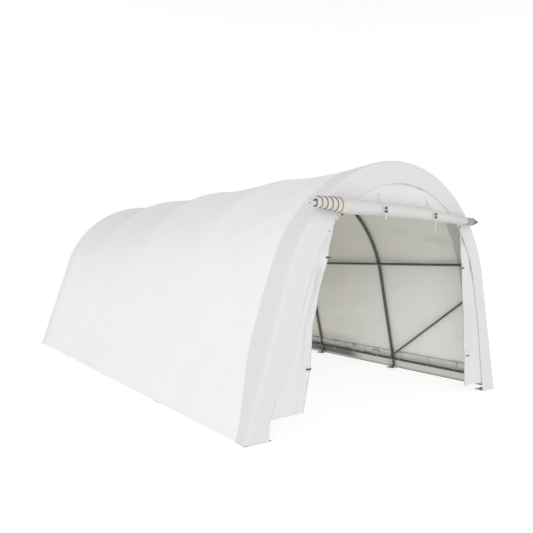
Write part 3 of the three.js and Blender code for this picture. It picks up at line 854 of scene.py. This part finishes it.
def make_flap(side, sign):
    foot_z, tip_z = FLAPS[side][1::2]
    t = np.r_[0, 0.008, 0.03, np.linspace(0.045, 1, 96)][:, None]
    across = np.r_[0, 0.01, np.linspace(0.03, 0.94, 56), 0.975, 1][None]
    z = foot_z + (tip_z - foot_z) * t + 0 * across
    outer, inner = profile_x(LAP_INSET, z), zip_x(side, z)
    x = outer + (inner - outer) * across
    z = z + (flap_foot(side, x) - foot_z) * (1 - t) ** 3
    grid, uv = layers(sign * x, flap_y(side, x, z), z), layers(x, z)
    reach = smooth(z, 0.95, 1.15) * fade(z, 1.60, 1.72) if side == "left" else 0.5
    # Painted shadow of the band's inner edge, a dark line on the flap.
    fold = bell(profile_x(FASCIA_WIDTH, z) - x - 0.006, 0.012) * reach
    if sign < 0:
        grid, uv, fold = grid[::-1], uv[::-1], fold[::-1]
    place = {"body": f"{side}_flap", "stretch": ((sign * 1.1, PANEL_Y, 1.80), (sign * 1.1, PANEL_Y, 1.52))}
    flap = shell(f"{side}_flap_cloth", grid, [flap_cloth, panel_in], uv, f"{side}_flap",
                 marks={"fold": fold}, **place)
    edge_z = np.linspace(foot_z + 0.004, tip_z, 150)
    edge_x = zip_x(side, edge_z)
    route = np.stack([sign * (edge_x - 0.001), flap_y(side, edge_x, edge_z) + 0.0006, edge_z], 1)
    Batch().sweep(route, 0.0026, 8, hint=ALONG).build(f"{side}_zip_coil", coil_grey, "zip_tape", **place)


make_rear_panel()
make_header()
for flap_side, flap_sign in SIDES.items():
    make_flap(flap_side, flap_sign)


# ---- Rolled door ----
DOOR_LEFT, DOOR_RIGHT = (-1.350, -0.995), (1.118, 1.000)


def door_radius(t, x):
    """Radius of the spiral at a share t of the way from its core to its outer turn."""
    first = 1 / ROLL_TURNS
    radius = np.where(t < first, 0.034 + (0.046 - 0.034) * t / first,
                      0.046 + (ROLL_R - 0.0015 - 0.046) * (t - first) / (1 - first))
    squeeze = 1 - 0.08 * fade(x, -1.02, -0.94) - 0.10 * smooth(x, -0.85, -0.45)
    squeeze = squeeze - 0.30 * np.clip((x - 0.20) / 0.85, 0, 1) - 0.34 * smooth(x, 1.00, 1.12)
    return radius * squeeze


def door_edges(t):
    """Left and right edge of the door along the spiral: the outer turns are the narrow top of the door."""
    nose = 0.005 * fade(t, 0, 0.08)
    return (DOOR_LEFT[0] + (DOOR_LEFT[1] - DOOR_LEFT[0]) * t - nose,
            DOOR_RIGHT[0] + (DOOR_RIGHT[1] - DOOR_RIGHT[0]) * t)


def door_angle(t):
    return -tau * ROLL_TURNS * (1 - t)


def door_point(t, x):
    """Point of the spiral, x measured along the roll's axis."""
    from_edge = x - door_edges(t)[0]
    ring = (DOOR_LEFT[1] - DOOR_LEFT[0]) / ROLL_TURNS
    bulge = 0.0030 * np.sin(np.clip(from_edge / ring, 0, 1) * pi) ** 0.7
    pinch = sum(bell(x - tie_x, 0.03) for tie_x in TIE_XS.values())
    angle = door_angle(t)
    soft = 0.0022 * ripple(x, angle * 0.07, 61, 0.5, 0.12) * smooth(t, 0.8, 0.9)
    tip = fade(from_edge, 0, 0.045) * fade(t, 0.11, 0.155)
    radius = door_radius(t, x) + bulge - 0.003 * pinch * smooth(t, 0.8, 0.9)
    radius = radius * (1 - 0.72 * tip) + soft - 0.0015
    bend = 0.006 + 0.011 * bell(x + 0.05, 0.45) + 0.007 * fade(x, -1.2, -0.95)
    bend = bend - 0.012 * smooth(x, 0.35, 0.85)
    ahead = 0.006 * smooth(x, -0.85, -0.45) * fade(x, 0.3, 0.7)
    up = radius * np.sin(angle) + bend - 0.013 * tip
    return np.stack([SPIN_AXIS.x * x + SPIN_UP.x * up, ROLL_Y + radius * np.cos(angle) - ahead,
                     ROLL_Z + SPIN_AXIS.z * x + SPIN_UP.z * up], -1)


def flatten(piece):
    """Gives the piece its own copy of its mesh."""
    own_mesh(piece)


def make_roll():
    t = np.linspace(0, 1, int(ROLL_TURNS * 52))[:, None]
    share = np.r_[np.linspace(0, 0.10, 26), np.linspace(0.115, 0.86, 46), np.linspace(0.87, 1, 20)]
    left, right = door_edges(t)
    x = left + (right - left) * share[None]
    grid = door_point(t + 0 * x, x)
    uv = layers(x, tau * ROLL_TURNS * t * 0.055)
    middle_x = (x[:-1, :-1] + x[1:, 1:]) / 2
    tape = np.where(middle_x - left[:-1] < 0.052, 1, np.where(middle_x > 0.868, 2, 0))
    # Painted shade: darker under the roll and towards its right end.
    soil = 0.55 * smooth(-np.sin(door_angle(t)), 0.2, 0.95) * smooth(t, 0.8, 0.82)
    soil = 0.45 * smooth(x, 0.3, 0.9) + soil
    roll = shell("door_roll_cloth", grid, [door_out, door_tape, tip_tape] * 2, uv, "door_roll",
                 thickness=0.0014, face_slot=tape, marks={"soil": soil}, body="door_roll")
    flatten(roll)
    beads = Batch()
    turns = np.linspace(0, 1, int(ROLL_TURNS * 40))
    for edge, inward, radius in ((0, 0.002, 0.0036), (1, -0.002, 0.003)):
        beads.sweep(door_point(turns, door_edges(turns)[edge] + inward), radius, 8, hint=(1, 0, 0))
    flatten(beads.build("door_zip_coils", coil_brown, "zip_tape", body="door_roll"))
    reach = SPIN_AXIS * ((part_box("roll_bar")[1].x - 0.0004) / SPIN_AXIS.x)
    bar = Batch().sweep([SPIN_POINT - reach, SPIN_POINT, SPIN_POINT + reach], 0.0125, 24, bore=WALL)
    flatten(bar.build("door_bar_tube", tube_steel, "tube_steel", "roll_bar", body="door_bar"))


CURTAIN_Y = FRONT_Y - 0.0065


def make_curtain():
    """The top of the door. It is drawn out by the drop, so its width is set where each row ends up."""
    t = np.linspace(0, 1, 64)[:, None]
    rise = HEADER_Z - ROLL_Z
    fallen = (rise * t + DROP * smooth(t, 0, 1)) / (rise + DROP)
    left = -(0.950 + (1.290 - 0.950) * fallen)
    right = 0.905 + (1.120 - 0.905) * fallen
    x = left + (right - left) * np.linspace(0, 1, 44)[None]
    y = CURTAIN_Y - 0.0007 + 0.0006 * ripple(x, fallen * 2, 71, 0.6, 0.2)
    grid, uv = layers(x, y, HEADER_Z - rise * t), layers(x, fallen * (rise + DROP))
    place = {"body": "door_bar", "stretch": ((0, CURTAIN_Y, HEADER_Z), (0, CURTAIN_Y, ROLL_Z))}
    curtain = shell("door_curtain_cloth", grid, [curtain_cloth, panel_in], uv, "door_curtain",
                    thickness=0.0008, **place)
    coils = Batch()
    for edge in (left, right):
        route = np.stack([edge[:, 0], np.full(len(t), CURTAIN_Y - 0.001), HEADER_Z - rise * t[:, 0]], 1)
        coils.sweep(route, 0.0018, 8, hint=ALONG)
    coils.build("door_curtain_zip_coils", coil_white, "zip_tape", **place)


make_roll()
make_curtain()


# ---- Frame ----
def tube(node, points, size, hint=UP, bore=WALL):
    sweep = Batch().sweep(points, size, 24, hint, bore)
    sweep.build(f"{node}_tube", tube_steel, "tube_steel", node)


def make_rib(number, y, side, sign):
    radius = ARC_R - RIB_INSET
    share = np.array([0, 0.2, 0.4, 0.6, 0.8, 0.945, 0.955, 0.996, 1])
    foot = leg_point(sign, RIB_INSET, y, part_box("rib_1_left_leg")[0].z + RIB_R * SIN)
    head = leg_point(sign, RIB_INSET, y, ARC_Z + radius * SIN - 0.001)
    size = RIB_R + 0.0016 * smooth(share, 0.945, 0.955)
    tube(f"rib_{number}_{side}_leg", foot + (head - foot) * share[:, None], size, ALONG)
    angle = np.linspace(LEAN, pi / 2 - 0.0005, 44)
    arc = np.stack([sign * radius * np.cos(angle), np.full_like(angle, y), ARC_Z + radius * np.sin(angle)], 1)
    size = RIB_R + (0.0016 * smooth(angle, 1.527, 1.529) if sign < 0 else 0 * angle)
    tube(f"rib_{number}_{side}_bend", arc, size, ALONG)


def make_long_tubes():
    joint = np.array([0, 0.2465, 0.2475, 0.262, 0.263, 0.5, 0.7465, 0.7475, 0.762, 0.763, 1])
    swell = 0.0014 * np.array([0, 0, 1, 1, 0, 0, 0, 1, 1, 0, 0])
    for node in ("ridge_purlin", "left_purlin", "right_purlin", "left_base_rail", "right_base_rail"):
        low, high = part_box(node)
        x, _, z = centre(node)
        tube(node, [(x, y, z) for y in low.y + (high.y - low.y) * joint], RAIL_R + swell)
    low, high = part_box("rear_base_rail")
    _, y, z = centre("rear_base_rail")
    tube("rear_base_rail", [(x, y, z) for x in (low.x, 0, high.x)], RAIL_R)


def make_braces():
    """Diagonal braces with flattened, bolted ends."""
    bolts = Batch()
    for end, low_rib, high_rib in (("front", 1, 0), ("rear", RIB_COUNT - 2, RIB_COUNT - 1)):
        for side, sign in SIDES.items():
            node = f"{end}_{side}_brace"
            low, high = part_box(node)
            foot = leg_point(sign, BRACE_INSET, RIB_YS[low_rib], low.z + BRACE_R * 0.7)
            head = leg_point(sign, BRACE_INSET, RIB_YS[high_rib], high.z - BRACE_R * 0.7)
            length = np.linalg.norm(head - foot)
            from_end = np.array([-0.018, 0, 0.022, 0.05, 0.09])
            share = np.r_[from_end, length / 2, (length - from_end)[::-1]]
            flat = fade(np.minimum(share, length - share), 0.022, 0.07)
            size = np.stack([BRACE_R + (0.0035 - BRACE_R) * flat, BRACE_R + 0.006 * flat], 1)
            size[[0, -1]] *= (0.9, 0.55)
            out = outward(sign)
            points = foot + (head - foot) * (share / length)[:, None]
            tube(node, points + out * ((BRACE_R - 0.0035) * flat)[:, None], size, out, 0)
            for at in (foot, head):
                bolts.bolt(at + out * (BRACE_R - 0.008), -out, size=0.010, length=0.006)
    bolts.build("brace_bolts", bolt_steel, "plate_steel")


def strap(batch, middle, along, radius, width):
    """A pressed strap round a tube."""
    half, outer = width / 2, radius + STRAP_T
    outline = [(half, radius), (half, outer), (-half, outer), (-half, radius)]
    batch.turned(middle, along, outline, 28, closed=True)


def make_clamps():
    cross, rails, bolts = Batch(), Batch(), Batch()
    places = [(0, HEIGHT - PURLIN_INSET, PURLIN_INSET, cross)]
    for height, inset, batch in (PURLIN_Z, PURLIN_INSET, cross), (BASE_RAIL_Z, RAIL_INSET, rails):
        places += [(1, height, inset, batch), (-1, height, inset, batch)]
    length = np.array(ALONG)
    for y in RIB_YS:
        for sign, height, inset, batch in places:
            normal_x, normal_z = section(sign * q_at(height), 0)[2:]
            out = np.array([normal_x, 0, normal_z])
            down = np.array([-normal_z, 0, normal_x]) * (sign or 1)
            tube_at = np.array([sign * float(profile_x(inset, height)), y, height])
            rib = tube_at + out * (inset - RIB_INSET)
            strap(batch, rib - out * 0.001, down, RIB_R, 0.042)
            strap(batch, tube_at, length, RAIL_R, 0.056)
            for k in (-1, 1):
                bolts.bolt(tube_at - out * (RAIL_R + STRAP_T - 0.001) + length * k * 0.017, -out, length=0.01)
                if y == (FIRST_Y if k < 0 else LAST_Y):
                    continue
                ear = rib + length * k * (RIB_R + 0.0125)
                batch.turned(ear, out, [(-0.0016, 0.0105), (0.0016, 0.0105)], 12)
                bolts.bolt(ear - out * 0.0016, -out, size=0.006)
    cross.build("cross_clamps", clamp_steel, "plate_steel")
    rails.build("rail_clamps", clamp_steel, "plate_steel")
    bolts.build("clamp_bolts", bolt_steel, "plate_steel")


def make_rib_bolts():
    """A bolt through each tube joint, its head on the inside of the shelter."""
    bolts = Batch()
    radius = ARC_R - RIB_INSET
    for y in RIB_YS:
        for sign in SIDES.values():
            out = outward(sign)
            for z in (ARC_Z + radius * SIN - 0.035, 0.075):
                bolts.bolt(leg_point(sign, RIB_INSET, y, z) - out * (RIB_R + 0.0016), -out, length=0.006)
            angle = pi / 2 - 0.022
            out = np.array([sign * cos(angle), 0, sin(angle)])
            bolts.bolt(np.array([0, y, ARC_Z]) + out * (radius - RIB_R - 0.0016), -out, length=0.006)
    bolts.build("rib_joint_bolts", bolt_steel, "plate_steel")


def dress_node(name, material, edge, width, segments):
    """A CAD node that stays in view gets its material and rounded edges."""
    node = frame["nodes"][name]
    node.material_slots[0].material = material
    bevel = node.modifiers.new(edge, "BEVEL")
    bevel.width, bevel.segments, bevel.limit_method = width, segments, "ANGLE"


def make_feet():
    """The CAD foot plates keep their shape, and get rolled edges, gussets and anchor bolts."""
    gussets, anchors = Batch(), Batch()
    bolt_parts = (
        (0, [(-0.004, 0.0055), (0, 0.0055), (0, 0.013), (0.0022, 0.013)], 20),
        (0.0022, [(0, 0.0095), (0.0075, 0.0095), (0.009, 0.0082)], 6),
        (0.011, [(0, 0.005), (0.018, 0.005), (0.02, 0.0042)], 14),
    )
    for number, y in enumerate(RIB_YS, 1):
        for side, sign in SIDES.items():
            name = f"foot_{number}_{side}"
            dress_node(name, plate_steel, "rolled_edges", 0.0008, 2)
            inner_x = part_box(name)[1 if sign < 0 else 0].x
            toe = leg_point(sign, RIB_INSET, y, 0)[0]
            outline = [(toe - sign * 0.036, PLATE_T), (toe + sign * 0.006, PLATE_T),
                       (toe, 0.034), (toe - sign * 0.030, 0.034)]
            for k in (-1, 1):
                at = y + k * (RIB_R + 0.004)
                gussets.slab(outline, at - 0.0015, at + 0.0015, flip=sign < 0)
            is_end = number in (1, RIB_COUNT)
            holes = [(0.035, 0.0345), (0.105, 0.0345)] if is_end else [(0.030, 0.0065), (0.030, 0.0625)]
            for step, behind in holes:
                for lift, profile, sides in bolt_parts:
                    anchors.turned((inner_x + sign * step, y + behind, PLATE_T + lift), UP, profile, sides)
    gussets.build("foot_gussets", plate_steel, "plate_steel", sharp=20)
    anchors.build("anchor_bolts", bolt_steel, "plate_steel")


for rib_number, rib_y in enumerate(RIB_YS, 1):
    for rib_side, rib_sign in SIDES.items():
        make_rib(rib_number, rib_y, rib_side, rib_sign)
make_long_tubes()
make_braces()
make_clamps()
make_rib_bolts()
make_feet()


# ---- Lacing inside the base of each wall ----
EYELET_Z = LACING_HIGH - 0.013
EYELET_PITCH = (LAST_Y - FIRST_Y) / 13.5


def lacing_pull(y, z):
    """How far the strip is drawn in from the cover towards the rail, with its eyelets and creases."""
    eyelet = 0.5 + 0.5 * np.cos((y - FIRST_Y) / EYELET_PITCH * tau)
    high = smooth(z, 0.10, LACING_HIGH)
    belly = bell(z - BASE_RAIL_Z, 0.045)
    pull = 0.006 + 0.012 * high * (0.4 + 0.6 * eyelet) + 0.014 * belly
    pull = pull + 0.006 * belly * ripple(y, z * 3, 81, 0.35, 0.09)
    return pull + 0.004 * ripple(y, z * 2, 82, 0.4, 0.12) * high


def lacing_crease(y, z):
    """Shade in the strip's creases, where it is bunched behind the second rib."""
    bunched = smooth(y, RIB_YS[1] + 0.05, RIB_YS[1] + 0.4) * fade(y, RIB_YS[1] + 0.9, RIB_YS[1] + 1.3)
    return bunched * smooth(ripple(y, z * 3, 83, 0.30, 0.09), 0.15, 0.8) * smooth(z, 0.13, 0.16)


def make_lacing(side, sign):
    low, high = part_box(f"{side}_lacing_strip")
    z = np.r_[np.linspace(low.z, high.z - 0.012, 26), high.z - 0.009, high.z][:, None]
    y = np.linspace(low.y, high.y, 330)[None]
    inset = 0.006 + lacing_pull(y, z) - 0.0012 * smooth(z, high.z - 0.012, high.z - 0.009)
    grid, uv = layers(sign * leg_x(inset, z), y, z), layers(z, y)
    # Painted shade: darker below the rail, towards the rear and in the creases.
    low_mark = fade(z, BASE_RAIL_Z - 0.01, BASE_RAIL_Z + 0.06)
    depth = (0.25 + 0.75 * low_mark) * smooth(y, RIB_YS[1] + 0.55, RIB_YS[1] + 0.95)
    marks = {"low": low_mark, "deep": np.maximum(depth, 0.6 * lacing_crease(y, z))}
    if sign > 0:
        grid, uv, marks = grid[::-1], uv[::-1], {name: mark[::-1] for name, mark in marks.items()}
    strip = shell(f"{side}_lacing_cloth", grid, [lacing_cloth] * 2, uv, f"{side}_lacing_strip", marks=marks)
    rings, loops = Batch(), Batch()
    out, along = outward(sign), np.array([-sign * SIN, 0, COS])
    rail = leg_point(sign, RAIL_INSET, 0, BASE_RAIL_Z)
    profile = [(-0.0018, 0.006), (-0.0018, 0.011), (-0.0004, 0.0125), (0.0014, 0.0105), (0.0014, 0.006)]
    for k in range(1, round((LAST_Y - FIRST_Y) / EYELET_PITCH)):
        eye_y = FIRST_Y + k * EYELET_PITCH
        inset = 0.006 + float(lacing_pull(np.array(eye_y), np.array(EYELET_Z)))
        at = leg_point(sign, inset, eye_y, EYELET_Z)
        rings.turned(at, -out, profile, 20, closed=True)
        middle = rail + (0, eye_y + (0.018 if k % 2 else -0.018), 0)
        path = [at - out * 0.004]
        for angle in np.radians(np.linspace(-20, 235, 12)):
            path.append(middle + (along * cos(angle) - out * sin(angle)) * (RAIL_R + 0.0035))
        path.append(at + out * 0.003)
        loops.sweep(smooth_route(path + path[:1], 3)[:-1], 0.0026, 8, hint=ALONG, closed=True)
    rings.build(f"{side}_lacing_eyelets", eyelet_ring, "plate_steel")
    loops.build(f"{side}_lacing_loops", lace_grey, "tie_cord")


for lacing_side, lacing_sign in SIDES.items():
    make_lacing(lacing_side, lacing_sign)


# ---- Hooks, sliders and snaps at the door's edges ----
def make_door_hardware():
    for side, sign in SIDES.items():
        for level in LEVELS:
            name = f"{side}_hook_{level}"
            dress_node(name, dark_plastic, "moulded_edges", 0.0009, 3)
            x, _, z = joints[f"{name}_turn"]["pos_m"]
            rivet = Batch().turned((x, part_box(name)[0].y, z), (0, -1, 0),
                                   [(-0.004, 0.004), (0, 0.0042), (0.0012, 0.0038), (0.0018, 0.002)], 18)
            rivet.build(f"{name}_rivet", bolt_steel, "dark_plastic", body=name)
        x, z = {"left": (-0.905, 1.858), "right": (0.900, 1.894)}[side]
        slider = Batch().turned((x, PANEL_Y - 0.005, z), (-sign * 0.5, 0, -1),
                                [(0, 0.005), (0.003, 0.009), (0.016, 0.010), (0.020, 0.005)], 12)
        slider.build(f"{side}_zip_slider", dark_plastic, "dark_plastic")
    snaps = Batch()
    for x, z in ((-1.043, 1.691), (-0.975, 1.785)):
        snaps.turned((x, FRONT_Y - 0.003, z), (0, -1, 0), [(0, 0.008), (0.002, 0.008), (0.004, 0.005)])
    snaps.build("left_fascia_snaps", bolt_steel, "dark_plastic")


make_door_hardware()


# ---- Studio ----
def make_studio():
    floor_finish = Finish("studio_floor", (0.30, 0.30, 0.30), 0.9)
    floor_finish.shader["Emission Color"].default_value = (1, 1, 1, 1)
    floor_finish.shader["Emission Strength"].default_value = 0.80
    where = floor_finish.place("Object")
    floor_finish.tint(floor_finish.patches(where, 0.6, 2, 0.3, 0.7), (0.28, 0.28, 0.28))
    reach = 160
    corners = [(-reach, -reach, 0), (reach, -reach, 0), (reach, reach, 0), (-reach, reach, 0)]
    mesh_object("studio_floor", corners, [[0, 1, 2, 3]], [floor_finish.done()])

    world = bpy.data.worlds.new("studio")
    scene.world = world
    world.use_nodes = True
    tree = world.node_tree
    direction = tree.nodes.new("ShaderNodeTexCoord")
    split = tree.nodes.new("ShaderNodeSeparateXYZ")
    ramp = tree.nodes.new("ShaderNodeValToRGB")
    tree.links.new(direction.outputs["Generated"], split.inputs["Vector"])
    tree.links.new(split.outputs["Z"], ramp.inputs["Fac"])
    ramp.color_ramp.elements[0].position, ramp.color_ramp.elements[0].color = 0.42, (1, 1, 1, 1)
    ramp.color_ramp.elements[1].position, ramp.color_ramp.elements[1].color = 0.9, (0.66, 0.655, 0.67, 1)
    tree.links.new(ramp.outputs["Color"], tree.nodes["Background"].inputs["Color"])
    tree.nodes["Background"].inputs["Strength"].default_value = 1.0

    data = bpy.data.lights.new("key", "AREA")
    data.size, data.energy = 8, 200
    light = bpy.data.objects.new("key", data)
    light.location = (-7, -11, 5)
    light.rotation_euler = (Vector((0, -1, 1)) - light.location).to_track_quat("-Z", "Y").to_euler()
    scene.collection.objects.link(light)
    scene.view_settings.view_transform = "Standard"


make_studio()
